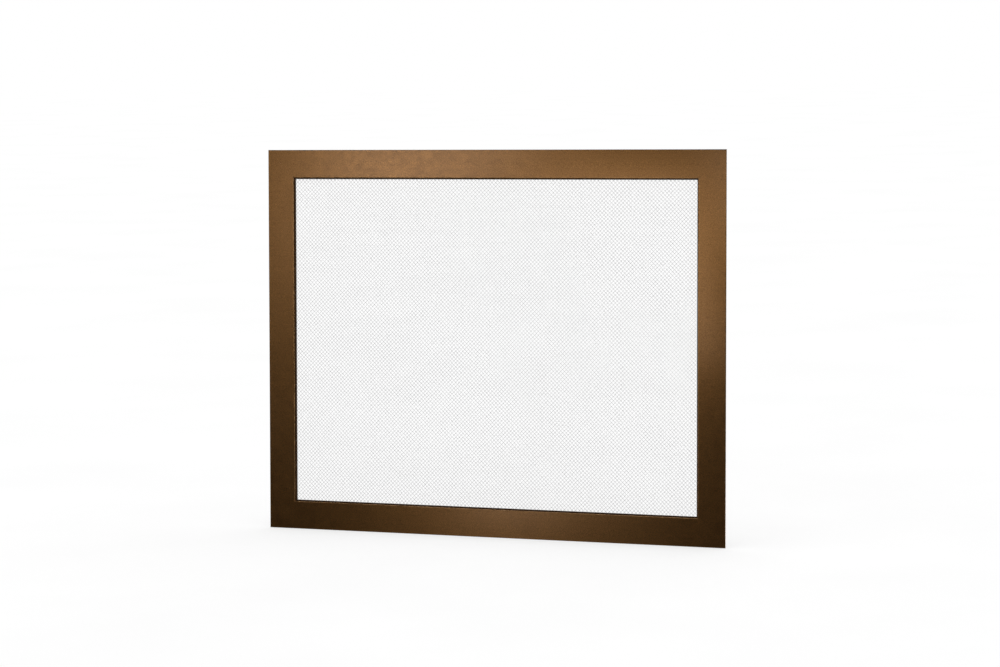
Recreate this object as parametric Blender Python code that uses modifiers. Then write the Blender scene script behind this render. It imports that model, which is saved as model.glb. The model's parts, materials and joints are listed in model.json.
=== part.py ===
"""Single-panel fireplace screen.

Four mitred steel flat bars frame a sheet of woven wire cloth. Behind the bars, an angle forms the
inner lip that the cloth lies on, and screwed strips clamp the cloth's edges. Two legs at the back
fold flat against the bottom rail; with both legs out, the panel stands and leans back a little.

Metres, +Z up, front towards -Y. The origin is on the floor under the middle of the footprint.
"""

from math import atan2, copysign, cos, pi, radians, sin, sqrt, tan

import bmesh
import bpy
from mathutils import Euler, Vector

INCH = 0.0254
# Between pieces that touch, and how far a cutter runs past what it cuts
GAP = 0.0003
CUT_REACH = 0.01

# The panel and its bars
PANEL_WIDTH = 39 * INCH
PANEL_HEIGHT = 31 * INCH
BAR_WIDTH = 2.25 * INCH
BAR_THICKNESS = 0.0032
BAR_EDGE_RADIUS = 0.001
LEAN = radians(3)

# The angle that the wire cloth lies on: its flange shows as a lip inside the bars
LIP = 0.003
SEAT_THICKNESS = 0.002
SEAT_FLANGE = 0.016
SEAT_DEPTH = 0.014

# Wire cloth, taken as a sheet as thick as two crossing wires, and the strips over its edges
CLOTH_THICKNESS = 0.0016
CLOTH_MARGIN = 0.012
STRIP_THICKNESS = 0.002
STRIP_INNER = -0.002
STRIP_OUTER = 0.013

# Pan-head screws through strip, cloth and flange
SCREW_LINE = 0.0055
SCREW_RADIUS = 0.002
SCREW_HEAD_RADIUS = 0.0038
SCREW_HEAD_HEIGHT = 0.0024
SCREW_HOLE_RADIUS = SCREW_RADIUS + GAP
SCREW_END_MARGIN = 0.035

# Plates over the mitred corners
GUSSET_LEG = 0.060
GUSSET_THICKNESS = 0.003
GUSSET_INSET = 0.008
GUSSET_CORNER_RADIUS = 0.006
GUSSET_TIP_RADIUS = 0.003

# Hinge bracket on the back of the bottom rail
HINGE_X = 0.385
BRACKET_WIDTH = 0.046
BRACKET_BOTTOM = 0.006
BRACKET_HEIGHT = 0.032
BRACKET_THICKNESS = 0.003
LUG_INSET = 0.002
LUG_WIDTH = 0.018
PIN_FROM_PLATE = 0.012
STUD_SPACING = 0.033
STUD_RADIUS = 0.002
STUD_LENGTH = 0.0078
STUD_CHAMFER = 0.0005
NUT_FLATS = 0.007
NUT_HEIGHT = 0.0032

# Hinge pin, its clip and the friction washers
PIN_RADIUS = 0.003
PIN_HEAD_RADIUS = 0.005
PIN_HEAD_HEIGHT = 0.002
PIN_TIP_PROUD = 0.0008
CLIP_RADIUS = 0.0055
CLIP_THICKNESS = 0.0012
WASHER_RADIUS = 0.007
WASHER_THICKNESS = 0.001

# Folding leg and its rubber foot
LEG_THICKNESS = 0.006
LEG_LENGTH = 0.130
LEG_STRAIGHT = 0.045
LEG_TIP_HEIGHT = 0.0108
LEG_INSIDE_BARREL = 0.001
BARREL_RADIUS = 0.008
HEEL_WIDTH = 0.006
HEEL_HEIGHT = 0.013
FOOT_WIDTH = 0.014
FOOT_GRIP = 0.022
FOOT_WALL = 0.0022
SOLE_THICKNESS = 0.0025
FOOT_SOLE_RADIUS = 0.001
FOOT_HEEL_RADIUS = 0.002

# Worked out from the sizes above, in the panel's own frame: y 0 is the back of the bars
OPENING_HALF_WIDTH = PANEL_WIDTH / 2 - BAR_WIDTH
OPENING_HALF_HEIGHT = PANEL_HEIGHT / 2 - BAR_WIDTH
SEAT_FRONT = GAP
SEAT_BACK = SEAT_FRONT + SEAT_THICKNESS
CLOTH_FRONT = SEAT_BACK + GAP
CLOTH_BACK = CLOTH_FRONT + CLOTH_THICKNESS
STRIP_FRONT = CLOTH_BACK + GAP
STRIP_BACK = STRIP_FRONT + STRIP_THICKNESS
PLATE_BACK = GAP + BRACKET_THICKNESS
PIN_Y = PLATE_BACK + PIN_FROM_PLATE
LOWER_LUG_TOP = BRACKET_BOTTOM + LUG_INSET + BRACKET_THICKNESS
UPPER_LUG_BOTTOM = BRACKET_BOTTOM + BRACKET_HEIGHT - LUG_INSET - BRACKET_THICKNESS
LOWER_WASHER = LOWER_LUG_TOP + GAP
UPPER_WASHER = UPPER_LUG_BOTTOM - GAP - WASHER_THICKNESS
BARREL_BOTTOM = LOWER_WASHER + WASHER_THICKNESS + GAP
BARREL_TOP = UPPER_WASHER - GAP
LEG_TIP_Y = PIN_Y + LEG_LENGTH

# Each side of the frame: its name, the turn about Y that points its outer edge outwards, the
# distance from the opening's centre, half of the opening's edge, and how many screws it takes
SIDES = (
    ("top", "rail", 0, OPENING_HALF_HEIGHT, OPENING_HALF_WIDTH, 5),
    ("right", "stile", pi / 2, OPENING_HALF_WIDTH, OPENING_HALF_HEIGHT, 3),
    ("bottom", "rail", pi, OPENING_HALF_HEIGHT, OPENING_HALF_WIDTH, 5),
    ("left", "stile", -pi / 2, OPENING_HALF_WIDTH, OPENING_HALF_HEIGHT, 3),
)

# Turns an outline drawn in x, y so that x runs back, y runs up and its thickness is sideways
SIDE_VIEW = Euler((pi / 2, 0, pi / 2)).to_matrix().to_4x4()
# Points the axis of a turned piece backwards
BACKWARDS = Euler((-pi / 2, 0, 0))


# ---------------------------------------------------------------- scene and materials


def clear_scene():
    for item in list(bpy.data.objects):
        bpy.data.objects.remove(item)


def new_collection(name):
    collection = bpy.data.collections.new(name)
    bpy.context.scene.collection.children.link(collection)
    return collection


def new_material(name, colour, metallic, roughness):
    material = bpy.data.materials.new(name)
    material.use_nodes = True
    shader = material.node_tree.nodes["Principled BSDF"]
    shader.inputs["Base Color"].default_value = (*colour, 1)
    shader.inputs["Metallic"].default_value = metallic
    shader.inputs["Roughness"].default_value = roughness
    return material


clear_scene()
PARTS = new_collection("fireplace_screen")
CUTTERS = new_collection("cutters")

BRONZE = new_material("bronze_finish", (0.20, 0.105, 0.043), 0.8, 0.42)
DARK_STEEL = new_material("dark_seat_steel", (0.020, 0.013, 0.008), 0.5, 0.55)
WIRE = new_material("wire_cloth_steel", (0.62, 0.62, 0.62), 0.9, 0.40)
BLACK_STEEL = new_material("black_hardware", (0.020, 0.019, 0.018), 0.6, 0.50)
PLATED = new_material("plated_fasteners", (0.50, 0.50, 0.48), 1.0, 0.35)
RUBBER = new_material("black_rubber", (0.015, 0.015, 0.015), 0.0, 0.85)
NYLON = new_material("nylon", (0.60, 0.58, 0.52), 0.0, 0.50)


# ---------------------------------------------------------------- helpers


def empty(name, parent=None, location=(0, 0, 0), rotation=(0, 0, 0)):
    item = bpy.data.objects.new(name, None)
    PARTS.objects.link(item)
    item.parent = parent
    item.location = location
    item.rotation_euler = rotation
    return item


def part(name, mesh, material, parent, location=(0, 0, 0), rotation=(0, 0, 0)):
    """A named piece of the screen, placed in its parent's frame."""
    item = bpy.data.objects.new(name, mesh)
    PARTS.objects.link(item)
    item.parent = parent
    item.location = location
    item.rotation_euler = rotation
    if not mesh.materials:
        mesh.materials.append(material)
    return item


def guide(name, mesh, parent, location=(0, 0, 0), rotation=(0, 0, 0)):
    """A solid that only cuts or joins other pieces, placed in its parent's frame."""
    item = bpy.data.objects.new(name, mesh)
    CUTTERS.objects.link(item)
    item.parent = parent
    item.location = location
    item.rotation_euler = rotation
    item.hide_render = True
    item.display_type = "WIRE"
    return item


def combine(item, other, operation):
    modifier = item.modifiers.new(f"{operation.lower()} {other.name}", "BOOLEAN")
    modifier.operation = operation
    modifier.object = other


def rounded(corners, radii, steps=4):
    """A closed outline through the corners, each turned by an arc of its radius, or sharp at 0."""
    points = []
    for index, corner in enumerate(corners):
        here = Vector(corner)
        radius = radii[index]
        if radius == 0:
            points.append(tuple(here))
            continue
        to_last = (Vector(corners[index - 1]) - here).normalized()
        to_next = (Vector(corners[(index + 1) % len(corners)]) - here).normalized()
        half_angle = to_last.angle(to_next) / 2
        centre = here + (to_last + to_next).normalized() * radius / sin(half_angle)
        first = here + to_last * radius / tan(half_angle) - centre
        last = here + to_next * radius / tan(half_angle) - centre
        start = atan2(first.y, first.x)
        turn = (atan2(last.y, last.x) - start + pi) % (2 * pi) - pi
        for step in range(steps + 1):
            angle = start + turn * step / steps
            points.append((centre.x + radius * cos(angle), centre.y + radius * sin(angle)))
    return points


def extrusion(name, outline, thickness):
    """A closed solid of an outline in x, y, with its thickness centred on z 0."""
    curve = bpy.data.curves.new(name, "CURVE")
    curve.dimensions = "2D"
    curve.fill_mode = "BOTH"
    curve.extrude = thickness / 2
    spline = curve.splines.new("POLY")
    spline.points.add(len(outline) - 1)
    for point, (x, y) in zip(spline.points, outline):
        point.co = (x, y, 0, 1)
    spline.use_cyclic_u = True
    drawn = bpy.data.objects.new(name, curve)
    CUTTERS.objects.link(drawn)
    graph = bpy.context.evaluated_depsgraph_get()
    mesh = bpy.data.meshes.new_from_object(drawn.evaluated_get(graph))
    bpy.data.objects.remove(drawn)
    bpy.data.curves.remove(curve)
    close(mesh)
    mesh.name = name
    return mesh


def close(mesh):
    """Welds a curve's caps to its sides and points every face outwards."""
    work = bmesh.new()
    work.from_mesh(mesh)
    bmesh.ops.remove_doubles(work, verts=work.verts, dist=0.00001)
    bmesh.ops.recalc_face_normals(work, faces=work.faces)
    work.to_mesh(mesh)
    work.free()


def side_extrusion(name, outline, width):
    """A solid of an outline whose points are (distance back, height), centred on x 0."""
    mesh = extrusion(name, outline, width)
    mesh.transform(SIDE_VIEW)
    return mesh


def box(name, low, high):
    """A block between two corners."""
    work = bmesh.new()
    bmesh.ops.create_cube(work, size=1)
    size = Vector(high) - Vector(low)
    middle = (Vector(high) + Vector(low)) / 2
    bmesh.ops.scale(work, vec=size, verts=work.verts)
    bmesh.ops.translate(work, vec=middle, verts=work.verts)
    mesh = bpy.data.meshes.new(name)
    work.to_mesh(mesh)
    work.free()
    return mesh


def rod(name, radius, low, high, segments=16):
    """A cylinder along z."""
    work = bmesh.new()
    bmesh.ops.create_cone(
        work, cap_ends=True, segments=segments, radius1=radius, radius2=radius, depth=high - low
    )
    bmesh.ops.translate(work, vec=(0, 0, (low + high) / 2), verts=work.verts)
    mesh = bpy.data.meshes.new(name)
    work.to_mesh(mesh)
    work.free()
    return mesh


def profile(name, points, closed=False):
    """The half outline of a turned piece: (radius, height) points down its outer side."""
    last = len(points) if closed else len(points) - 1
    edges = [(index, (index + 1) % len(points)) for index in range(last)]
    mesh = bpy.data.meshes.new(name)
    mesh.from_pydata([(radius, 0, height) for radius, height in points], edges, [])
    return mesh


def turn(item, steps):
    """Turns a half outline about its object's z axis."""
    screw = item.modifiers.new("turned", "SCREW")
    screw.steps = steps
    screw.render_steps = steps
    screw.use_merge_vertices = True
    screw.merge_threshold = 0.00001
    return item


def mitre(mesh, half_opening):
    """Cuts both ends at 45 degrees: each end point stands out by its distance from the opening."""
    for vertex in mesh.vertices:
        reach = half_opening + vertex.co.z - GAP / sqrt(2)
        vertex.co.x = copysign(reach, vertex.co.x)


# ---------------------------------------------------------------- frame


def screw_places(half_opening, count):
    """Even places along one side of the opening, for its screws."""
    reach = half_opening - SCREW_END_MARGIN
    return [-reach + 2 * reach * index / (count - 1) for index in range(count)]


def screw_hole_cutter(name, half_opening, count, parent):
    """Rods through a side's flange, cloth and strip, as one cutter."""
    work = bmesh.new()
    for x in screw_places(half_opening, count):
        made = bmesh.ops.create_cone(
            work,
            cap_ends=True,
            segments=10,
            radius1=SCREW_HOLE_RADIUS,
            radius2=SCREW_HOLE_RADIUS,
            depth=3 * STRIP_BACK,
            matrix=BACKWARDS.to_matrix().to_4x4(),
        )
        bmesh.ops.translate(work, vec=(x, STRIP_BACK / 2, SCREW_LINE), verts=made["verts"])
    mesh = bpy.data.meshes.new(name)
    work.to_mesh(mesh)
    work.free()
    return guide(name, mesh, parent)


def make_bar(side, kind, half_opening, parent):
    outline = rounded(
        [(-BAR_THICKNESS, 0), (-BAR_THICKNESS, BAR_WIDTH), (0, BAR_WIDTH), (0, 0)],
        [BAR_EDGE_RADIUS, BAR_EDGE_RADIUS, 0, 0],
        steps=3,
    )
    mesh = side_extrusion(f"{side}_{kind}", outline, 2 * half_opening)
    mitre(mesh, half_opening)
    part(f"{side}_{kind}", mesh, BRONZE, parent)


def make_seat_angle(side, half_opening, holes, parent):
    outline = [
        (SEAT_FRONT, -LIP),
        (SEAT_FRONT, SEAT_FLANGE),
        (SEAT_FRONT + SEAT_DEPTH, SEAT_FLANGE),
        (SEAT_FRONT + SEAT_DEPTH, SEAT_FLANGE - SEAT_THICKNESS),
        (SEAT_BACK, SEAT_FLANGE - SEAT_THICKNESS),
        (SEAT_BACK, -LIP),
    ]
    mesh = side_extrusion(f"{side}_seat_angle", outline, 2 * half_opening)
    mitre(mesh, half_opening)
    angle = part(f"{side}_seat_angle", mesh, DARK_STEEL, parent)
    combine(angle, holes, "DIFFERENCE")


def make_retainer(side, half_opening, holes, parent):
    outline = [
        (STRIP_FRONT, STRIP_INNER),
        (STRIP_FRONT, STRIP_OUTER),
        (STRIP_BACK, STRIP_OUTER),
        (STRIP_BACK, STRIP_INNER),
    ]
    mesh = side_extrusion(f"{side}_retainer", outline, 2 * half_opening)
    mitre(mesh, half_opening)
    strip = part(f"{side}_retainer", mesh, BLACK_STEEL, parent)
    combine(strip, holes, "DIFFERENCE")


def pan_head_screw_profile():
    """A pan-head screw whose underside is at height 0 and whose head is above it."""
    shank = STRIP_BACK + GAP - SEAT_FRONT
    return profile(
        "pan_head_screw",
        [
            (0, SCREW_HEAD_HEIGHT),
            (0.6 * SCREW_HEAD_RADIUS, SCREW_HEAD_HEIGHT),
            (0.92 * SCREW_HEAD_RADIUS, 0.65 * SCREW_HEAD_HEIGHT),
            (SCREW_HEAD_RADIUS, 0),
            (SCREW_RADIUS, 0),
            (SCREW_RADIUS, -shank),
            (0, -shank),
        ],
    )


def make_retainer_screws(side, half_opening, count, mesh, parent):
    for number, x in enumerate(screw_places(half_opening, count), 1):
        place = (x, STRIP_BACK + GAP, SCREW_LINE)
        name = f"{side}_retainer_screw_{number}"
        turn(part(name, mesh, PLATED, parent, place, BACKWARDS), 12)


def make_cloth(panel_centre, cutters):
    half_width = OPENING_HALF_WIDTH + CLOTH_MARGIN
    half_height = OPENING_HALF_HEIGHT + CLOTH_MARGIN
    mesh = box(
        "mesh_panel",
        (-half_width, CLOTH_FRONT, -half_height),
        (half_width, CLOTH_BACK, half_height),
    )
    cloth = part("mesh_panel", mesh, WIRE, panel_centre)
    for holes in cutters:
        combine(cloth, holes, "DIFFERENCE")


def make_gusset(name, across, up, parent):
    """A triangle over a mitre, its square corner near the frame's outer corner."""
    outer_x = across * (PANEL_WIDTH / 2 - GUSSET_INSET)
    outer_z = up * (PANEL_HEIGHT / 2 - GUSSET_INSET)
    corners = [
        (outer_x, outer_z),
        (outer_x - across * GUSSET_LEG, outer_z),
        (outer_x, outer_z - up * GUSSET_LEG),
    ]
    radii = [GUSSET_CORNER_RADIUS, GUSSET_TIP_RADIUS, GUSSET_TIP_RADIUS]
    mesh = extrusion(name, rounded(corners, radii), GUSSET_THICKNESS)
    # The outline's y becomes height, so its thickness runs from front to back
    mesh.transform(Euler((pi / 2, 0, 0)).to_matrix().to_4x4())
    part(name, mesh, BLACK_STEEL, parent, (0, GAP + GUSSET_THICKNESS / 2, 0))


def make_frame(panel_centre):
    screw = pan_head_screw_profile()
    cutters = []
    for side, kind, angle, distance, half_opening, screws in SIDES:
        place = (distance * sin(angle), 0, distance * cos(angle))
        edge = empty(f"{side}_edge", panel_centre, place, (0, angle, 0))
        holes = screw_hole_cutter(f"{side}_screw_holes", half_opening, screws, edge)
        cutters.append(holes)
        make_bar(side, kind, half_opening, edge)
        make_seat_angle(side, half_opening, holes, edge)
        make_retainer(side, half_opening, holes, edge)
        make_retainer_screws(side, half_opening, screws, screw, edge)
    make_cloth(panel_centre, cutters)
    for side, across in (("left", -1), ("right", 1)):
        for level, up in (("top", 1), ("bottom", -1)):
            make_gusset(f"{level}_{side}_gusset", across, up, panel_centre)


# ---------------------------------------------------------------- hinge and leg


def make_bracket(side, hinge, hinge_pin_hole):
    """A back plate with two lugs that hold the leg's pin. The hinge's origin is the pin's axis."""
    plate_front = GAP - PIN_Y
    plate_back = PLATE_BACK - PIN_Y
    top = BRACKET_BOTTOM + BRACKET_HEIGHT
    plate = box(
        f"{side}_leg_bracket",
        (-BRACKET_WIDTH / 2, plate_front, BRACKET_BOTTOM),
        (BRACKET_WIDTH / 2, plate_back, top),
    )
    bracket = part(f"{side}_leg_bracket", plate, BLACK_STEEL, hinge)
    half = LUG_WIDTH / 2
    lug_start = plate_back - BRACKET_THICKNESS / 2
    lug = extrusion(
        "lug",
        rounded(
            [(-half, lug_start), (half, lug_start), (half, half), (-half, half)],
            [0, 0, 0.95 * half, 0.95 * half],
        ),
        BRACKET_THICKNESS,
    )
    for level, height in (("lower", LOWER_LUG_TOP), ("upper", UPPER_LUG_BOTTOM + BRACKET_THICKNESS)):
        place = (0, 0, height - BRACKET_THICKNESS / 2)
        combine(bracket, guide(f"{side}_{level}_lug", lug, hinge, place), "UNION")
    combine(bracket, hinge_pin_hole, "DIFFERENCE")
    for number, x in enumerate((-STUD_SPACING / 2, STUD_SPACING / 2), 1):
        place = (x, plate_front, BRACKET_BOTTOM + BRACKET_HEIGHT / 2)
        hole = rod("stud_hole", STUD_RADIUS + GAP, -CUT_REACH, CUT_REACH, 12)
        cutter = guide(f"{side}_stud_hole_{number}", hole, hinge, place, BACKWARDS)
        combine(bracket, cutter, "DIFFERENCE")
        make_stud_and_nut(side, number, place, hinge)


def make_stud_and_nut(side, number, place, hinge):
    """A stud welded to the back of the rail, with a hexagon nut on it."""
    stud = profile(
        "weld_stud",
        [
            (0, STUD_LENGTH),
            (STUD_RADIUS - STUD_CHAMFER, STUD_LENGTH),
            (STUD_RADIUS, STUD_LENGTH - STUD_CHAMFER),
            (STUD_RADIUS, 0),
            (0, 0),
        ],
    )
    name = f"{side}_bracket_stud_{number}"
    turn(part(name, stud, PLATED, hinge, place, BACKWARDS), 12)
    nut_mesh = rod("hexagon_nut", NUT_FLATS / 2 / cos(pi / 6), 0, NUT_HEIGHT, 6)
    nut_place = (place[0], PLATE_BACK + GAP - PIN_Y, place[2])
    nut = part(f"{side}_bracket_nut_{number}", nut_mesh, PLATED, hinge, nut_place, BACKWARDS)
    bore = rod("nut_bore", STUD_RADIUS + GAP, -CUT_REACH, CUT_REACH, 12)
    cutter = guide(f"{side}_nut_bore_{number}", bore, hinge, nut_place, BACKWARDS)
    combine(nut, cutter, "DIFFERENCE")


def make_pin(side, hinge):
    """The hinge pin with its domed head on top, the clip under it, and two friction washers."""
    seat = UPPER_LUG_BOTTOM + BRACKET_THICKNESS + GAP
    clip_top = LOWER_LUG_TOP - BRACKET_THICKNESS - GAP
    tip = clip_top - CLIP_THICKNESS - PIN_TIP_PROUD
    pin = profile(
        "hinge_pin",
        [
            (0, seat + PIN_HEAD_HEIGHT),
            (0.7 * PIN_HEAD_RADIUS, seat + 0.8 * PIN_HEAD_HEIGHT),
            (PIN_HEAD_RADIUS, seat + 0.3 * PIN_HEAD_HEIGHT),
            (PIN_HEAD_RADIUS, seat),
            (PIN_RADIUS, seat),
            (PIN_RADIUS, tip),
            (0, tip),
        ],
    )
    turn(part(f"{side}_hinge_pin", pin, PLATED, hinge), 20)
    make_ring(f"{side}_pin_clip", CLIP_RADIUS, clip_top - CLIP_THICKNESS, clip_top, PLATED, hinge)
    for level, bottom in (("lower", LOWER_WASHER), ("upper", UPPER_WASHER)):
        name = f"{side}_{level}_washer"
        make_ring(name, WASHER_RADIUS, bottom, bottom + WASHER_THICKNESS, NYLON, hinge)


def make_ring(name, radius, bottom, top, material, parent):
    """A flat ring around the hinge pin."""
    hole = PIN_RADIUS + GAP
    points = [(hole, top), (radius, top), (radius, bottom), (hole, bottom)]
    turn(part(name, profile(name, points, closed=True), material, parent), 20)


def leg_heights(y):
    """Bottom and top of the leg at a distance back from the pin's axis."""
    root_bottom = BARREL_BOTTOM + LEG_INSIDE_BARREL
    root_top = BARREL_TOP - LEG_INSIDE_BARREL
    tip_bottom = LEG_TIP_Y * tan(LEAN) + SOLE_THICKNESS + GAP
    share = max(0, y - LEG_STRAIGHT) / (LEG_LENGTH - LEG_STRAIGHT)
    bottom = root_bottom + (tip_bottom - root_bottom) * share
    top = root_top + (tip_bottom + LEG_TIP_HEIGHT - root_top) * share
    return bottom, top


def leg_outline(start, end, margin=0.0):
    """The leg's side between two distances from the pin, larger by a margin all round."""
    places = [start, LEG_STRAIGHT, end] if start < LEG_STRAIGHT else [start, end]
    lower = [(y, leg_heights(y)[0] - margin) for y in places]
    upper = [(y, leg_heights(y)[1] + margin) for y in reversed(places)]
    return lower + upper


def make_leg(side, outward, pivot, hinge_pin_hole):
    """A tapered flat bar with a barrel round the pin. Its heel stops on the bracket's plate."""
    bar = side_extrusion(f"{side}_leg", leg_outline(0, LEG_LENGTH), LEG_THICKNESS)
    leg = part(f"{side}_leg", bar, BLACK_STEEL, pivot)
    barrel = rod("barrel", BARREL_RADIUS, BARREL_BOTTOM, BARREL_TOP, 24)
    combine(leg, guide(f"{side}_leg_barrel", barrel, pivot), "UNION")
    middle = (BARREL_BOTTOM + BARREL_TOP) / 2
    across = sorted((0, outward * HEEL_WIDTH))
    heel = box(
        "heel",
        (across[0], PLATE_BACK + GAP - PIN_Y, middle - HEEL_HEIGHT / 2),
        (across[1], 0, middle + HEEL_HEIGHT / 2),
    )
    combine(leg, guide(f"{side}_leg_heel", heel, pivot), "UNION")
    combine(leg, hinge_pin_hole, "DIFFERENCE")


def make_foot(side, pivot):
    """A rubber shoe over the leg's tip, its sole parallel to the floor."""
    front = LEG_LENGTH - FOOT_GRIP
    back = LEG_LENGTH + GAP + FOOT_WALL
    cover = GAP + FOOT_WALL
    outline = rounded(
        [
            (front, (PIN_Y + front) * tan(LEAN)),
            (back, (PIN_Y + back) * tan(LEAN)),
            (back, leg_heights(LEG_LENGTH)[1] + cover),
            (front, leg_heights(front)[1] + cover),
        ],
        [FOOT_SOLE_RADIUS, FOOT_SOLE_RADIUS, FOOT_HEEL_RADIUS, FOOT_SOLE_RADIUS],
    )
    foot = part(f"{side}_foot", side_extrusion(f"{side}_foot", outline, FOOT_WIDTH), RUBBER, pivot)
    socket = side_extrusion(
        "leg_socket",
        leg_outline(front - CUT_REACH, LEG_LENGTH + GAP, GAP),
        LEG_THICKNESS + 2 * GAP,
    )
    combine(foot, guide(f"{side}_foot_socket", socket, pivot), "DIFFERENCE")


def make_leg_assembly(side, outward, panel):
    place = (outward * HINGE_X, PIN_Y, 0)
    hinge = empty(f"{side}_hinge", panel, place)
    pivot = empty(f"{side}_leg_pivot", panel, place)
    hole = rod("hinge_pin_hole", PIN_RADIUS + GAP, 0, 2 * BRACKET_HEIGHT, 20)
    hinge_pin_hole = guide(f"{side}_hinge_pin_hole", hole, hinge)
    make_bracket(side, hinge, hinge_pin_hole)
    make_pin(side, hinge)
    make_leg(side, outward, pivot, hinge_pin_hole)
    make_foot(side, pivot)


# ---------------------------------------------------------------- the whole screen


def centre_footprint(panel):
    """Slides the screen along y until its bounding box is centred on the origin."""
    bpy.context.view_layer.update()
    graph = bpy.context.evaluated_depsgraph_get()
    depths = []
    for item in PARTS.objects:
        if item.type == "MESH":
            placed = item.evaluated_get(graph)
            depths += [(placed.matrix_world @ vertex.co).y for vertex in placed.data.vertices]
    panel.location.y -= (min(depths) + max(depths)) / 2
    bpy.context.view_layer.update()


def shade(items):
    """Shades round surfaces smooth and keeps the corners sharp."""
    for mesh in {item.data for item in items if item.type == "MESH"}:
        if mesh.polygons:
            mesh.shade_smooth()
            mesh.set_sharp_from_angle(angle=radians(35))


def main():
    # The panel leans about its lowest edge, which is the back edge of the bottom rail
    panel = empty("panel", rotation=(-LEAN, 0, 0))
    panel_centre = empty("panel_centre", panel, (0, 0, PANEL_HEIGHT / 2))
    make_frame(panel_centre)
    for side, outward in (("left", -1), ("right", 1)):
        make_leg_assembly(side, outward, panel)
    centre_footprint(panel)
    shade(PARTS.objects)


main()
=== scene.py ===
"""The looks of the fireplace screen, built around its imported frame.

Every piece is made in the panel's own frame (x across, y back from the bars' back faces, z up the
panel), or in one placed in it, and then turned into the row frame. A piece called NODE_detail
stands for that CAD node, the wire_cloth pieces stand for mesh_panel, and the welds are extra.
"""

import json
from math import atan2, ceil, copysign, cos, floor, pi, radians, sin, sqrt, tan

import bmesh
import bpy
import numpy as np
from mathutils import Euler, Matrix, Vector


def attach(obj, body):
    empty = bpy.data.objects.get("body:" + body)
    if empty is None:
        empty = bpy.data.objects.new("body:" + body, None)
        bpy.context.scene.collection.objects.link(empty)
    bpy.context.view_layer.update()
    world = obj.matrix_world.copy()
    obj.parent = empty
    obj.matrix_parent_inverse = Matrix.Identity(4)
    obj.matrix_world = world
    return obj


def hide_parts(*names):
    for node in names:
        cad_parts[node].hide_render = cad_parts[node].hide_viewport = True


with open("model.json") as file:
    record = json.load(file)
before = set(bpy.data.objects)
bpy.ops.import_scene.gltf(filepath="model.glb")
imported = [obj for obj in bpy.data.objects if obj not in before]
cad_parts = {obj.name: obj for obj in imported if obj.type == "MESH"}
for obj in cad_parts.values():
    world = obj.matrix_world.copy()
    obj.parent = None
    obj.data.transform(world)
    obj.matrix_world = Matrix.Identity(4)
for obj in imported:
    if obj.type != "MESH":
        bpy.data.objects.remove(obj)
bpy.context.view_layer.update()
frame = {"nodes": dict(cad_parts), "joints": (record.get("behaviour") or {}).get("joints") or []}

# ---------------- the panel's frame and sizes


def panel_matrix():
    """From the panel's own frame to the row frame.

    Its axes come from a leg's hinge, which runs up the panel, and its origin is on the bottom
    rail's lowest edge, at the back of the bars.
    """
    joint = next(j for j in frame["joints"] if j["name"] == "right_leg_fold")
    up = Vector(joint["axis"]).normalized()
    across = Vector((1, 0, 0))
    back = up.cross(across)
    rail = [vertex.co for vertex in frame["nodes"]["bottom_rail"].data.vertices]
    matrix = Matrix((across, back, up)).transposed().to_4x4()
    matrix.translation = back * max(back.dot(p) for p in rail) + up * min(up.dot(p) for p in rail)
    return matrix


PANEL = panel_matrix()
LEAN = atan2(PANEL.col[2].y, PANEL.col[2].z)


def local_points(node):
    """A CAD node's points in the panel's frame."""
    inverse = PANEL.inverted()
    return [inverse @ vertex.co for vertex in frame["nodes"][node].data.vertices]


def local_box(node):
    """A CAD node's lowest and highest corner in the panel's frame."""
    points = np.array(local_points(node))
    return Vector(points.min(0)), Vector(points.max(0))


RAIL = local_box("bottom_rail")
STILE = local_box("left_stile")
SEAT = local_box("bottom_seat_angle")
CLOTH = local_box("mesh_panel")
STRIP = local_box("bottom_retainer")
GUSSET = local_box("top_right_gusset")
BRACKET = local_box("right_leg_bracket")
LEG = local_box("right_leg")
FOOT = local_box("right_foot")
PIN = local_box("right_hinge_pin")
NUT = local_box("right_bracket_nut_1")
STUD = local_box("right_bracket_stud_1")

PANEL_HEIGHT = local_box("top_rail")[1].z
BAR_WIDTH = RAIL[1].z
BAR_THICKNESS = -RAIL[0].y
OPENING_HALF_WIDTH = -STILE[1].x
OPENING_HALF_HEIGHT = PANEL_HEIGHT / 2 - BAR_WIDTH
LIP = SEAT[1].z - BAR_WIDTH
SEAT_FLANGE = BAR_WIDTH - SEAT[0].z
SEAT_THICKNESS = 0.002
BAR_EDGE_RADIUS = 0.001
SHEET_EDGE_RADIUS = 0.0004
# How far each bar's end stays back from the mitre, which leaves a hairline there
MITRE_LINE = 0.00003
# The clearance that the CAD leaves between pieces
GAP = 0.0003
# How far a cutter runs past what it cuts
CUT_REACH = 0.01

PANEL_CENTRE = PANEL @ Matrix.Translation((0, 0, PANEL_HEIGHT / 2))

# Name, kind of bar, turn about Y that points its outer edge outwards, distance from the opening's
# centre, half of the opening's edge
SIDES = (
    ("top", "rail", 0, OPENING_HALF_HEIGHT, OPENING_HALF_WIDTH),
    ("right", "stile", pi / 2, OPENING_HALF_WIDTH, OPENING_HALF_HEIGHT),
    ("bottom", "rail", pi, OPENING_HALF_HEIGHT, OPENING_HALF_WIDTH),
    ("left", "stile", -pi / 2, OPENING_HALF_WIDTH, OPENING_HALF_HEIGHT),
)
# Turns an outline drawn in x, y so that x runs back, y runs up and its thickness is sideways
SIDE_VIEW = Euler((pi / 2, 0, pi / 2)).to_matrix().to_4x4()
# Points the axis of a turned piece backwards
BACKWARDS = Euler((-pi / 2, 0, 0)).to_matrix().to_4x4()

# What the softboxes light
WHOLE_SCREEN = bpy.data.collections.new("whole_screen")
CLOTH_ALONE = bpy.data.collections.new("cloth_alone")
SEATS_ALONE = bpy.data.collections.new("seats_alone")
THE_REST = bpy.data.collections.new("the_rest")


# ---------------- mesh helpers


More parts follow.
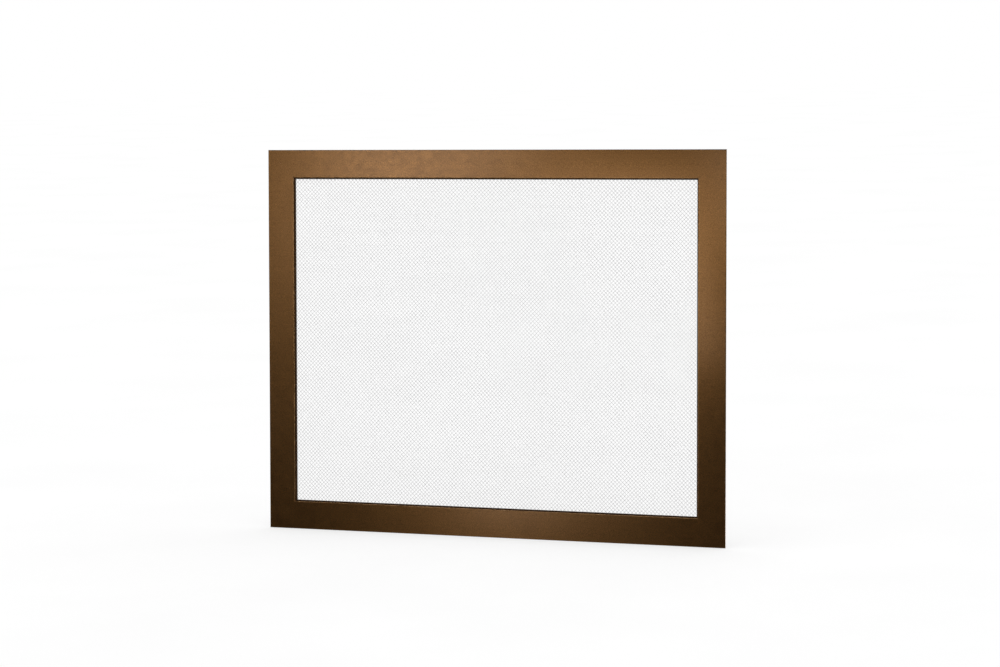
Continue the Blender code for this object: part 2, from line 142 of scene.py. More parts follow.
def rounded(corners, radii, steps=5):
    """A closed outline through the corners, each turned by an arc of its radius, or sharp at 0."""
    points = []
    for index, corner in enumerate(corners):
        here = Vector(corner)
        radius = radii[index]
        if radius == 0:
            points.append(tuple(here))
            continue
        to_last = (Vector(corners[index - 1]) - here).normalized()
        to_next = (Vector(corners[(index + 1) % len(corners)]) - here).normalized()
        half_angle = to_last.angle(to_next) / 2
        centre = here + (to_last + to_next).normalized() * radius / sin(half_angle)
        first = here + to_last * radius / tan(half_angle) - centre
        last = here + to_next * radius / tan(half_angle) - centre
        start = atan2(first.y, first.x)
        turn = (atan2(last.y, last.x) - start + pi) % (2 * pi) - pi
        for step in range(steps + 1):
            angle = start + turn * step / steps
            points.append((centre.x + radius * cos(angle), centre.y + radius * sin(angle)))
    return points


def prism(outline, thickness):
    """A closed solid of an outline in x, y, with its thickness centred on z 0."""
    work = bmesh.new()
    low = [work.verts.new((x, y, -thickness / 2)) for x, y in outline]
    high = [work.verts.new((x, y, thickness / 2)) for x, y in outline]
    work.faces.new(low)
    work.faces.new(high)
    for index in range(len(outline)):
        after = (index + 1) % len(outline)
        work.faces.new((low[index], low[after], high[after], high[index]))
    bmesh.ops.recalc_face_normals(work, faces=work.faces)
    return as_mesh(work)


def as_mesh(work):
    """The mesh of a finished bmesh."""
    mesh = bpy.data.meshes.new("piece")
    work.to_mesh(mesh)
    work.free()
    return mesh


def box(low, high):
    """A block between two corners."""
    work = bmesh.new()
    bmesh.ops.create_cube(work, size=1)
    bmesh.ops.scale(work, vec=Vector(high) - Vector(low), verts=work.verts)
    bmesh.ops.translate(work, vec=(Vector(high) + Vector(low)) / 2, verts=work.verts)
    return as_mesh(work)


def rod(radius, low, high, segments=48, top_radius=None):
    """A cylinder or cone along z."""
    work = bmesh.new()
    bmesh.ops.create_cone(
        work,
        cap_ends=True,
        segments=segments,
        radius1=radius,
        radius2=radius if top_radius is None else top_radius,
        depth=high - low,
    )
    bmesh.ops.translate(work, vec=(0, 0, (low + high) / 2), verts=work.verts)
    return as_mesh(work)


# A turned piece's points nearer to its axis than this are on it
ON_AXIS = 1e-9
BEVELLED_ABOVE = radians(40)


def turned(points, closed=False, segments=48):
    """A solid of revolution about z. Points are (radius, height), down its outer side."""
    work = bmesh.new()
    rings = []
    angles = [2 * pi * k / segments for k in range(segments)]
    for radius, height in points:
        if radius < ON_AXIS:
            rings.append([work.verts.new((0, 0, height))])
            continue
        rings.append([work.verts.new((radius * cos(a), radius * sin(a), height)) for a in angles])
    pairs = list(zip(rings, rings[1:] + rings[:1]))
    for upper, lower in pairs if closed else pairs[:-1]:
        for k in range(segments):
            corners = (
                upper[k % len(upper)],
                lower[k % len(lower)],
                lower[(k + 1) % len(lower)],
                upper[(k + 1) % len(upper)],
            )
            distinct = list(dict.fromkeys(corners))
            if len(distinct) > 2:
                work.faces.new(distinct)
    bmesh.ops.recalc_face_normals(work, faces=work.faces)
    return as_mesh(work)


def combined(mesh, steps, bevel, segments=3):
    """A mesh after Boolean steps of (operation, mesh), with its sharp edges rounded by bevel."""
    item = bpy.data.objects.new("work", mesh)
    bpy.context.scene.collection.objects.link(item)
    others = []
    for operation, other_mesh in steps:
        other = bpy.data.objects.new("other", other_mesh)
        bpy.context.scene.collection.objects.link(other)
        others.append(other)
        modifier = item.modifiers.new("combine", "BOOLEAN")
        modifier.operation = operation
        modifier.object = other
    soften = item.modifiers.new("soften", "BEVEL")
    soften.width = bevel
    soften.segments = segments
    soften.limit_method = "ANGLE"
    soften.angle_limit = BEVELLED_ABOVE
    graph = bpy.context.evaluated_depsgraph_get()
    result = bpy.data.meshes.new_from_object(item.evaluated_get(graph))
    for used in (item, *others):
        bpy.data.objects.remove(used)
    return result


def mitred_bar(outline, half_opening):
    """A bar along one side of the opening. Its outline's points are (depth, distance outwards).

    Both ends are cut at 45 degrees: each end point stands out by its distance from the opening.
    """
    mesh = prism(outline, 2 * half_opening)
    mesh.transform(SIDE_VIEW)
    for vertex in mesh.vertices:
        reach = half_opening + vertex.co.z - MITRE_LINE
        vertex.co.x = copysign(reach, vertex.co.x)
    return mesh


def edge_matrix(angle, distance):
    """The frame of one side: x along it, z outwards, its origin at the opening's edge."""
    place = Matrix.Translation((distance * sin(angle), 0, distance * cos(angle)))
    return PANEL_CENTRE @ place @ Matrix.Rotation(angle, 4, "Y")


def piece(name, mesh, material, matrix, body="panel", replaces=(), sharp=35):
    """Puts a finished mesh in the row frame as a piece that rides on a body.

    Edges sharper than so many degrees stay sharp, and the others are shaded smooth.
    """
    placed = mesh.copy()
    placed.transform(matrix)
    placed.materials.clear()
    placed.materials.append(material)
    placed.shade_smooth()
    placed.set_sharp_from_angle(angle=radians(sharp))
    item = bpy.data.objects.new(name, placed)
    bpy.context.scene.collection.objects.link(item)
    WHOLE_SCREEN.objects.link(item)
    own_lights = {WIRE: CLOTH_ALONE, DARK_BRONZE_AND_SHADE: SEATS_ALONE}
    own_lights.get(material, THE_REST).objects.link(item)
    if material is not WIRE:
        item.modifiers.new("flat faces stay flat", "WEIGHTED_NORMAL").keep_sharp = True
    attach(item, body)
    if replaces:
        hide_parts(*replaces)


# ---------------- materials

# Nearly all of a noise's values lie in this span
NOISE_SPAN = (0.3, 0.7)


class Nodes:
    """A material's node tree, with short calls for the nodes that these materials use."""

    def __init__(self, name):
        self.material = bpy.data.materials.new(name)
        self.material.use_nodes = True
        self.tree = self.material.node_tree
        self.shader = self.tree.nodes["Principled BSDF"]
        coordinates = self.tree.nodes.new("ShaderNodeTexCoord")
        self.place = coordinates.outputs["Object"]
        self.normal = coordinates.outputs["Normal"]

    def link(self, source, target):
        self.tree.links.new(source, target)

    def noise(self, scale, detail=2.0, roughness=0.5):
        """A noise value, with scale features to the metre."""
        node = self.tree.nodes.new("ShaderNodeTexNoise")
        node.inputs["Scale"].default_value = scale
        node.inputs["Detail"].default_value = detail
        node.inputs["Roughness"].default_value = roughness
        self.link(self.place, node.inputs["Vector"])
        return node.outputs["Fac"]

    def cells(self, scale):
        """A random value in each small cell, as in metal flakes or zinc spangle."""
        node = self.tree.nodes.new("ShaderNodeTexVoronoi")
        node.inputs["Scale"].default_value = scale
        self.link(self.place, node.inputs["Vector"])
        return node.outputs["Color"]

    def ramp(self, source, low, high):
        """Maps a noise value to a colour between two."""
        node = self.tree.nodes.new("ShaderNodeValToRGB")
        for element, value, colour in zip(node.color_ramp.elements, NOISE_SPAN, (low, high)):
            element.position = value
            element.color = (*colour, 1)
        self.link(source, node.inputs["Fac"])
        return node.outputs["Color"]

    def spread(self, source, low, high, span=NOISE_SPAN):
        """Maps a value in a span to a range of numbers."""
        node = self.tree.nodes.new("ShaderNodeMapRange")
        node.inputs["From Min"].default_value, node.inputs["From Max"].default_value = span
        node.inputs["To Min"].default_value, node.inputs["To Max"].default_value = low, high
        self.link(source, node.inputs["Value"])
        return node.outputs["Result"]

    def scaled(self, colour, value):
        """A colour made lighter or darker by a number."""
        node = self.tree.nodes.new("ShaderNodeVectorMath")
        node.operation = "SCALE"
        self.link(colour, node.inputs[0])
        self.link(value, node.inputs["Scale"])
        return node.outputs["Vector"]

    def product(self, first, second):
        """Two numbers multiplied."""
        node = self.tree.nodes.new("ShaderNodeMath")
        node.operation = "MULTIPLY"
        self.link(first, node.inputs[0])
        self.link(second, node.inputs[1])
        return node.outputs["Value"]

    def edges(self):
        """1 on rounded edges and corners, 0 on the faces that are nearly square to the axes.

        The sizes of the normal's parts add up to 1.05 on the leaning panel's faces, and to 1.4
        halfway round an edge.
        """
        size = self.tree.nodes.new("ShaderNodeVectorMath")
        size.operation = "ABSOLUTE"
        self.link(self.normal, size.inputs[0])
        total = self.tree.nodes.new("ShaderNodeVectorMath")
        total.operation = "DOT_PRODUCT"
        self.link(size.outputs["Vector"], total.inputs[0])
        total.inputs[1].default_value = (1, 1, 1)
        return self.spread(total.outputs["Value"], 0.0, 1.0, span=(1.10, 1.30))

    def blended(self, amount, first, second):
        """From the first colour to the second as the amount goes from 0 to 1."""
        node = self.tree.nodes.new("ShaderNodeMix")
        node.data_type = "RGBA"
        self.link(amount, node.inputs["Factor"])
        colours = [socket for socket in node.inputs if socket.type == "RGBA"]
        self.link(first, colours[0])
        colours[1].default_value = (*second, 1)
        return next(socket for socket in node.outputs if socket.type == "RGBA")

    def bump(self, source, strength, distance):
        """Roughens the surface by a value, to a depth in metres."""
        node = self.tree.nodes.new("ShaderNodeBump")
        node.inputs["Strength"].default_value = strength
        node.inputs["Distance"].default_value = distance
        self.link(source, node.inputs["Height"])
        self.link(node.outputs["Normal"], self.shader.inputs["Normal"])

    def surface(self, colour, roughness, metallic, coat=0.0, coat_roughness=0.2):
        """Finishes the material from a colour, a roughness and what is the same all over."""
        self.link(colour, self.shader.inputs["Base Color"])
        self.link(roughness, self.shader.inputs["Roughness"])
        self.shader.inputs["Metallic"].default_value = metallic
        self.shader.inputs["Coat Weight"].default_value = coat
        self.shader.inputs["Coat Roughness"].default_value = coat_roughness
        return self.material


def bronze():
    """Rubbed bronze finish: slow patina, 1.6 mm grain, 0.6 mm flake, and edges lighter, partly from
    rubbed wear and partly as a painted highlight.
    """
    n = Nodes("bronze_finish")
    patina = n.ramp(n.noise(4.5, 6, 0.6), (0.405, 0.191, 0.057), (0.440, 0.212, 0.067))
    grain = n.spread(n.noise(620, 2, 0.6), 0.77, 1.23)
    flake = n.spread(n.cells(1700), 0.68, 1.32, span=(0.0, 1.0))
    # Lighter colour on the rounded edges: partly rubbed wear, partly a painted highlight where the
    # edges catch the light
    wear_and_highlight = n.product(n.edges(), n.spread(n.noise(90, 4), 0.35, 0.95))
    worn_and_highlit = n.blended(wear_and_highlight, patina, (0.85, 0.50, 0.22))
    colour = n.scaled(worn_and_highlit, n.product(grain, flake))
    n.bump(n.noise(800, 3), 0.12, 0.0002)
    return n.surface(colour, n.spread(n.noise(60, 4), 0.38, 0.44), 1.0, 0.55, 0.26)


def dark_bronze_and_shade():
    """The seat angle's flat dark coat: partly its own dark colour and partly painted shade from the
    bars in front of it.
    """
    n = Nodes("dark_bronze_coat_and_shade")
    # A dark coat, darkened further as painted shade on the lip behind the bars
    colour = n.ramp(n.noise(30, 5, 0.6), (0.080, 0.040, 0.016), (0.105, 0.054, 0.021))
    n.bump(n.noise(1500, 2), 0.15, 0.0001)
    return n.surface(colour, n.spread(n.noise(200, 3), 0.46, 0.58), 0.6)


def wire_steel():
    """Bright galvanised wire, a little duller where the zinc has dried."""
    n = Nodes("galvanised_wire")
    colour = n.ramp(n.noise(14, 5, 0.6), (0.66, 0.66, 0.665), (0.76, 0.76, 0.76))
    n.bump(n.noise(2600, 2), 0.10, 0.00005)
    return n.surface(colour, n.spread(n.noise(900, 2), 0.36, 0.50), 0.35)


def powder_coat():
    """Black powder coat with its fine orange peel."""
    n = Nodes("black_powder_coat")
    colour = n.ramp(n.noise(25, 5, 0.6), (0.014, 0.013, 0.012), (0.026, 0.024, 0.022))
    n.bump(n.noise(1300, 2), 0.35, 0.0001)
    return n.surface(colour, n.spread(n.noise(150, 3), 0.38, 0.52), 0.0, 0.15, 0.3)


def zinc():
    """Zinc plating with a faint yellow passivation."""
    n = Nodes("zinc_plating")
    tint = n.ramp(n.noise(90, 4, 0.6), (0.56, 0.55, 0.50), (0.70, 0.69, 0.65))
    colour = n.scaled(tint, n.spread(n.cells(1600), 0.9, 1.06, span=(0.0, 1.0)))
    n.bump(n.noise(1800, 2), 0.10, 0.00005)
    return n.surface(colour, n.spread(n.noise(300, 3), 0.26, 0.40), 1.0)


def weld_metal():
    """A weld bead under the dark coat, rougher than the plate beside it."""
    n = Nodes("coated_weld")
    colour = n.ramp(n.noise(220, 4, 0.6), (0.022, 0.017, 0.013), (0.055, 0.042, 0.032))
    n.bump(n.noise(900, 3), 0.5, 0.0003)
    return n.surface(colour, n.spread(n.noise(400, 3), 0.45, 0.65), 0.5)


def rubber():
    """Moulded black rubber, matt and finely pitted."""
    n = Nodes("black_rubber")
    colour = n.ramp(n.noise(120, 5, 0.65), (0.012, 0.012, 0.012), (0.030, 0.029, 0.028))
    n.bump(n.noise(2200, 3), 0.5, 0.0001)
    return n.surface(colour, n.spread(n.noise(500, 3), 0.72, 0.90), 0.0)


def nylon():
    """Undyed nylon, yellowish white."""
    n = Nodes("natural_nylon")
    colour = n.ramp(n.noise(160, 4, 0.6), (0.60, 0.57, 0.49), (0.70, 0.67, 0.60))
    n.bump(n.noise(1500, 2), 0.2, 0.0001)
    return n.surface(colour, n.spread(n.noise(400, 3), 0.42, 0.55), 0.0)


BRONZE = bronze()
DARK_BRONZE_AND_SHADE = dark_bronze_and_shade()
WIRE = wire_steel()
POWDER_COAT = powder_coat()
ZINC = zinc()
WELD = weld_metal()
RUBBER = rubber()
NYLON = nylon()


# ---------------- bars, seat angles and strips

# The outer radius of the seat angle's bend, as a share of its thickness
SEAT_BEND = 0.8


def make_bar(side, kind, angle, distance, half_opening):
    """A flat bar, with its front edges rounded and its back ones only broken."""
    outline = rounded(
        [(-BAR_THICKNESS, 0), (-BAR_THICKNESS, BAR_WIDTH), (0, BAR_WIDTH), (0, 0)],
        [BAR_EDGE_RADIUS, BAR_EDGE_RADIUS, SHEET_EDGE_RADIUS / 2, SHEET_EDGE_RADIUS / 2],
    )
    name = f"{side}_{kind}"
    mesh = mitred_bar(outline, half_opening)
    matrix = edge_matrix(angle, distance)
    piece(f"{name}_detail", mesh, BRONZE, matrix, replaces=[name])


def make_seat_angle(side, angle, distance, half_opening):
    """The angle that the cloth lies on: a flange behind the bar, and a web at its outer edge."""
    web_inner = SEAT_FLANGE - SEAT_THICKNESS
    flange_back = SEAT[0].y + SEAT_THICKNESS
    fine = SHEET_EDGE_RADIUS
    outline = rounded(
        [
            (SEAT[0].y, -LIP),
            (SEAT[0].y, SEAT_FLANGE),
            (SEAT[1].y, SEAT_FLANGE),
            (SEAT[1].y, web_inner),
            (flange_back, web_inner),
            (flange_back, -LIP),
        ],
        [fine, SEAT_BEND * SEAT_THICKNESS, fine, fine, 2 * fine, fine],
        steps=4,
    )
    name = f"{side}_seat_angle"
    mesh = mitred_bar(outline, half_opening)
    matrix = edge_matrix(angle, distance)
    # The seat angle's dark colour is partly painted shade from the bar in front of it
    piece(f"{name}_detail", mesh, DARK_BRONZE_AND_SHADE, matrix, replaces=[name])


def make_retainer(side, angle, distance, half_opening):
    """The strip that clamps the cloth, its back edges a little rounder than its front ones."""
    inner, outer = BAR_WIDTH - STRIP[1].z, BAR_WIDTH - STRIP[0].z
    outline = rounded(
        [(STRIP[0].y, inner), (STRIP[0].y, outer), (STRIP[1].y, outer), (STRIP[1].y, inner)],
        [SHEET_EDGE_RADIUS] * 2 + [SHEET_EDGE_RADIUS * 2] * 2,
        steps=4,
    )
    name = f"{side}_retainer"
    mesh = mitred_bar(outline, half_opening)
    matrix = edge_matrix(angle, distance)
    piece(f"{name}_detail", mesh, POWDER_COAT, matrix, replaces=[name])


# ---------------- welds

BEAD_RADIUS = 0.0018
BEAD_SIDES = 12
RIPPLE_PITCH = 0.0016
RIPPLE_DEPTH = 0.10
RINGS_PER_RIPPLE = 4
# The higher, the blunter a bead's ends
END_BLUNTNESS = 6
STITCH_LENGTH = 0.024
STITCH_SPACING = 0.145
# How far a bead's middle lies out of its corner, in bead radii
SEAT_WELD_LIFT = 0.35
GUSSET_WELD_LIFT = 0.2
LUG_WELD_LIFT = 0.3
WELD_SHARP = 60


def bead(length):
    """A weld bead along x: overlapping scallops that taper at both ends."""
    work = bmesh.new()
    count = round(length / RIPPLE_PITCH * RINGS_PER_RIPPLE)
    angles = [2 * pi * k / BEAD_SIDES for k in range(BEAD_SIDES)]
    rings = []
    for step in range(1, count):
        along = step / count
        ripple = 1 - RIPPLE_DEPTH * (1 - abs(sin(pi * along * length / RIPPLE_PITCH)))
        swell = sqrt(1 - abs(2 * along - 1) ** END_BLUNTNESS)
        width = BEAD_RADIUS * ripple * swell
        x = (along - 0.5) * length
        rings.append([work.verts.new((x, width * cos(a), width * sin(a))) for a in angles])
    for before, after in zip(rings, rings[1:]):
        for k in range(BEAD_SIDES):
            work.faces.new((before[k], before[k - 1], after[k - 1], after[k]))
    for ring, x in ((rings[0], -length / 2), (rings[-1], length / 2)):
        tip = work.verts.new((x, 0, 0))
        for k in range(BEAD_SIDES):
            work.faces.new((ring[k], ring[k - 1], tip))
    bmesh.ops.recalc_face_normals(work, faces=work.faces)
    return as_mesh(work)


def beads(places, length):
    """One mesh of several beads, each moved by its matrix."""
    work = bmesh.new()
    for matrix in places:
        one = bead(length)
        one.transform(matrix)
        work.from_mesh(one)
    return as_mesh(work)


def make_seat_welds(side, angle, distance, half_opening):
    """Stitch welds in the corner between the bar's back and the seat angle's web."""
    reach = half_opening - STITCH_SPACING / 2
    count = round(2 * reach / STITCH_SPACING)
    lift = SEAT_WELD_LIFT * BEAD_RADIUS
    places = []
    for k in range(count + 1):
        along = -reach + 2 * reach * k / count
        places.append(Matrix.Translation((along, lift, SEAT_FLANGE + lift)))
    mesh = beads(places, STITCH_LENGTH)
    matrix = edge_matrix(angle, distance)
    piece(f"{side}_seat_welds", mesh, WELD, matrix, sharp=WELD_SHARP)


# ---------------- gussets

GUSSET_CORNER_RADIUS = 0.006
GUSSET_TIP_RADIUS = 0.003
# What the round tips take off the length of each leg
GUSSET_TIP_CUT = 0.004
PLATE_BEVEL = 0.0005
GUSSET_CORNERS = (
    ("top", "left", -1, 1),
    ("top", "right", 1, 1),
    ("bottom", "left", -1, -1),
    ("bottom", "right", 1, -1),
)


def make_gusset(level, side, across, up):
    """A triangle over a mitre, welded along its two short sides."""
    leg = GUSSET[1].x - GUSSET[0].x + GUSSET_TIP_CUT
    thickness = GUSSET[1].y - GUSSET[0].y
    outer = Vector((GUSSET[1].x, GUSSET[1].z - PANEL_HEIGHT / 2))
    corners = [(0, 0), (-leg, 0), (0, -leg)]
    radii = [GUSSET_CORNER_RADIUS, GUSSET_TIP_RADIUS, GUSSET_TIP_RADIUS]
    mesh = combined(prism(rounded(corners, radii, steps=8), thickness), [], bevel=PLATE_BEVEL)
    mesh.transform(Matrix.Rotation(pi / 2, 4, "X"))
    middle = (GUSSET[0].y + GUSSET[1].y) / 2
    flip = Matrix.Diagonal((across, 1, up, 1))
    place = Matrix.Translation((across * outer.x, middle, up * outer.y)) @ flip
    mesh.transform(place)
    if across * up < 0:
        mesh.flip_normals()
    name = f"{level}_{side}_gusset"
    matrix = PANEL_CENTRE
    piece(f"{name}_detail", mesh, POWDER_COAT, matrix, replaces=[name])
    lift = GUSSET_WELD_LIFT * BEAD_RADIUS
    depth = lift - middle
    along_top = place @ Matrix.Translation((-leg / 2, depth, lift))
    turn_down = Matrix.Rotation(pi / 2, 4, "Y")
    along_side = place @ Matrix.Translation((lift, depth, -leg / 2)) @ turn_down
    mesh = beads([along_top, along_side], STITCH_LENGTH)
    piece(f"{name}_welds", mesh, WELD, matrix, sharp=WELD_SHARP)


# ---------------- screws

HEAD_RADIUS = 0.0038
HEAD_HEIGHT = 0.0024
# The lower these powers, the fuller the head's round and the flatter its top
HEAD_ROUND = 0.8
HEAD_FLATNESS = 0.55
HEAD_STEPS = 9
HEAD_RIM = 0.0003
HEAD_UNDERSIDE = 0.97 * HEAD_RADIUS
SHANK_RADIUS = 0.002
RECESS_WIDTH = 0.0010
RECESS_LENGTH = 0.0042
RECESS_DEPTH = 0.0014
# The recess's cutter stands out of the head by this, and narrows to these shares at its foot
RECESS_CLEAR = 0.001
RECESS_TAPER = (0.55, 0.7)
SCREW_BEVEL = 0.00006
# The golden angle, so that no two screws beside each other stop at the same turn
GOLDEN_TURN = 2.39996


def pan_head():
    """A pan head with a cross recess; its underside is at height 0."""
    shank = STRIP[1].y - SEAT[0].y
    outline = [(0, HEAD_HEIGHT)]
    for k in range(1, HEAD_STEPS):
        angle = pi / 2 * k / HEAD_STEPS
        radius = HEAD_RADIUS * sin(angle) ** HEAD_ROUND
        outline.append((radius, HEAD_HEIGHT * cos(angle) ** HEAD_FLATNESS))
    outline += [(HEAD_RADIUS, HEAD_RIM), (HEAD_UNDERSIDE, 0)]
    outline += [(SHANK_RADIUS, 0), (SHANK_RADIUS, -shank), (0, -shank)]
    half_long, half_wide = RECESS_LENGTH / 2, RECESS_WIDTH / 2
    cuts = []
    for angle in (0, pi / 2):
        low = (-half_long, -half_wide, HEAD_HEIGHT - RECESS_DEPTH)
        slot = box(low, (half_long, half_wide, HEAD_HEIGHT + RECESS_CLEAR))
        for vertex in slot.vertices:
            if vertex.co.z < HEAD_HEIGHT:
                vertex.co.x *= RECESS_TAPER[0]
                vertex.co.y *= RECESS_TAPER[1]
        slot.transform(Matrix.Rotation(angle, 4, "Z"))
        cuts.append(("DIFFERENCE", slot))
    return combined(turned(outline), cuts, bevel=SCREW_BEVEL, segments=2)


def make_screws():
    """The retainer screws, each stopped at a turn of its own."""
    mesh = pan_head()
    names = sorted(n for n in frame["nodes"] if "_retainer_screw_" in n)
    for index, name in enumerate(names):
        low, high = local_box(name)
        middle = (low + high) / 2
        place = Matrix.Translation((middle.x, high.y - HEAD_HEIGHT, middle.z))
        turn = Matrix.Rotation(index * GOLDEN_TURN, 4, "Z")
        matrix = PANEL @ place @ BACKWARDS @ turn
        piece(f"{name}_detail", mesh, ZINC, matrix, replaces=[name])


# ---------------- wire cloth

INCH = 0.0254
WIRE_PITCH = INCH / 4.5
WIRE_SIDES = 6
# Half the length of the straight crown at a crossing, in pitches
CROWN = 0.15
CLOTH_BANDS = 3
SHORTEST_STEP = 1e-5
# Over the 60 degrees between a wire's six sides, so that they are shaded as one round
WIRE_SHARP = 75


def wire_rings(offset, index, side, half_width, half_height):
    """Where one diagonal wire's rings are: places along it, and how far each is back or forward.

    A wire rises over one crossing wire and dips under the next, with a short straight crown at
    each. The first and last rings are at the cloth's cut edges.
    """
    wide, high = half_width * sqrt(2), half_height * sqrt(2)
    start = max(offset - wide, -offset - high)
    end = min(offset + wide, -offset + high)
    if end - start < WIRE_PITCH:
        return None
    crossings = np.arange(ceil(start / WIRE_PITCH), floor(end / WIRE_PITCH) + 1)
    rise = side * np.where((crossings + index) % 2 == 0, 1.0, -1.0)
    along = (crossings[:, None] + np.array([-CROWN, CROWN])).ravel() * WIRE_PITCH
    depth = np.repeat(rise, 2)
    inside = (along > start + SHORTEST_STEP) & (along < end - SHORTEST_STEP)
    along = np.concatenate([[start], along[inside], [end]])
    depth = np.concatenate([[0.0], depth[inside], [0.0]])
    return along, depth


def wire_tube(along, depth, offset, side, wire_radius, middle_depth):
    """Ring points of one wire, in the panel-centred frame."""
    root = sqrt(0.5)
    angles = 2 * pi * (np.arange(WIRE_SIDES) + 0.5) / WIRE_SIDES
    sideways = offset + wire_radius * np.cos(angles)
    back = middle_depth + depth[:, None] * wire_radius + wire_radius * np.sin(angles)
    run = np.repeat(along[:, None], WIRE_SIDES, 1)
    cross = np.repeat(sideways[None, :], len(along), 0)
    u, v = (run, cross) if side > 0 else (cross, run)
    return np.stack([(u - v) * root, back, (u + v) * root], -1).reshape(-1, 3)


def cloth_mesh(wires):
    """One mesh of many closed wires."""
    points, quads, caps, first = [], [], [], 0
    corner = np.arange(WIRE_SIDES)
    after = (corner + 1) % WIRE_SIDES
    for ring_points, side in wires:
        rings = len(ring_points) // WIRE_SIDES
        base = first + np.arange(rings - 1)[:, None] * WIRE_SIDES
        faces = [base + corner, base + after, base + WIRE_SIDES + after, base + WIRE_SIDES + corner]
        ends = [first + corner[::-1], first + (rings - 1) * WIRE_SIDES + corner]
        if side < 0:
            faces = faces[::-1]
            ends = [end[::-1] for end in ends]
        points.append(ring_points)
        quads.append(np.stack(faces, -1).reshape(-1, 4))
        caps += ends
        first += len(ring_points)
    points, quads, caps = np.concatenate(points), np.concatenate(quads), np.array(caps)
    mesh = bpy.data.meshes.new("cloth")
    mesh.vertices.add(len(points))
    mesh.vertices.foreach_set("co", points.astype(np.float32).ravel())
    mesh.loops.add(quads.size + caps.size)
    corners = np.concatenate([quads.ravel(), caps.ravel()])
    mesh.loops.foreach_set("vertex_index", corners.astype(np.int32))
    sizes = np.concatenate([np.full(len(quads), 4), np.full(len(caps), WIRE_SIDES)])
    mesh.polygons.add(len(sizes))
    mesh.polygons.foreach_set("loop_start", (np.cumsum(sizes) - sizes).astype(np.int32))
    mesh.update(calc_edges=True)
    mesh.validate()
    return mesh


def make_cloth():
    """Plain-woven wires on both diagonals, in bands so that no piece is too heavy."""
    half_width, half_height = CLOTH[1].x, (CLOTH[1].z - CLOTH[0].z) / 2
    middle_depth = (CLOTH[0].y + CLOTH[1].y) / 2
    wire_radius = (CLOTH[1].y - CLOTH[0].y) / 4
    reach = (half_width + half_height) / sqrt(2)
    last = floor(reach / WIRE_PITCH)
    for side, family in ((1, "rising"), (-1, "falling")):
        wires = []
        for index in range(-last, last + 1):
            offset = index * WIRE_PITCH
            rings = wire_rings(offset, index, side, half_width, half_height)
            if rings is None:
                continue
            tube = wire_tube(*rings, offset, side, wire_radius, middle_depth)
            wires.append((tube, side))
        total = sum(len(tube) for tube, _ in wires)
        bands = [[] for _ in range(CLOTH_BANDS)]
        done = 0
        for wire in wires:
            bands[min(CLOTH_BANDS - 1, done * CLOTH_BANDS // total)].append(wire)
            done += len(wire[0])
        for number, band in enumerate(bands, 1):
            mesh = cloth_mesh(band)
            name = f"wire_cloth_{family}_{number}"
            replaced = ["mesh_panel"]
            piece(name, mesh, WIRE, PANEL_CENTRE, replaces=replaced, sharp=WIRE_SHARP)


# ---------------- hinges and legs

PIN_RADIUS = 0.003
PIN_TIP_CHAMFER = 0.0005
# The share of a pin's head that is domed
DOME = 0.7
DOME_STEPS = 10
CLIP_CLEARANCE = 0.0001
CLIP_SHEET = 0.0004
CLIP_FLAT = 0.0008
CLIP_RIM = 0.0006
CLIP_RIM_FLAT = 0.0010
WASHER_SOFTENING = 0.0002
LUG_THICKNESS = 0.003
LUG_INSET = 0.002
# How nearly a lug's end is a half circle
LUG_ROUND = 0.98
LUG_WELD_LENGTH = 1.7
BRACKET_BEVEL = 0.0004
THREAD_PITCH = 0.0007
THREAD_DEPTH = 0.0003
STUD_TIP_STEP = 0.0001
STUD_TIP_WIDTH = 0.0006
STUD_TIP_HEIGHT = 0.0005
# The cone that trims a nut's corners: its radii at its foot, where the nut's height is added, and
# at its end, in nut radii, and its height in nut heights
NUT_CONE_FOOT = 1.02
NUT_CONE_END = 0.62
NUT_CONE_HEIGHT = 1.5
NUT_BEVEL = 0.00012
BARREL_RADIUS = 0.008
LEG_THICKNESS = 0.006
# A leg is straight this far from the pin's axis, then tapers, with bends of this radius
LEG_STRAIGHT = 0.045
LEG_BEND = 0.12
LEG_TIP_RADIUS = 0.002
LEG_ROOT_INSET = 0.001
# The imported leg's points this near to its tip are the tip's
TIP_REACH = 0.0005
LEG_BEVEL = 0.0005
# The bore's cutter runs from the panel's base level to this height, through the whole barrel
BORE_TOP = 0.1
HEEL_WIDTH = 0.006
HEEL_HEIGHT = 0.013
HINGE_JOINTS = {j["name"].split("_")[0]: Vector(j["pos_m"]) for j in frame["joints"]}


def hinge_matrix(side):
    """The frame of one hinge: its origin is where the pin's axis meets the panel's base level."""
    place = PANEL.copy()
    place.translation = HINGE_JOINTS[side]
    return place


PIN_Y = (PANEL.inverted() @ HINGE_JOINTS["right"]).y


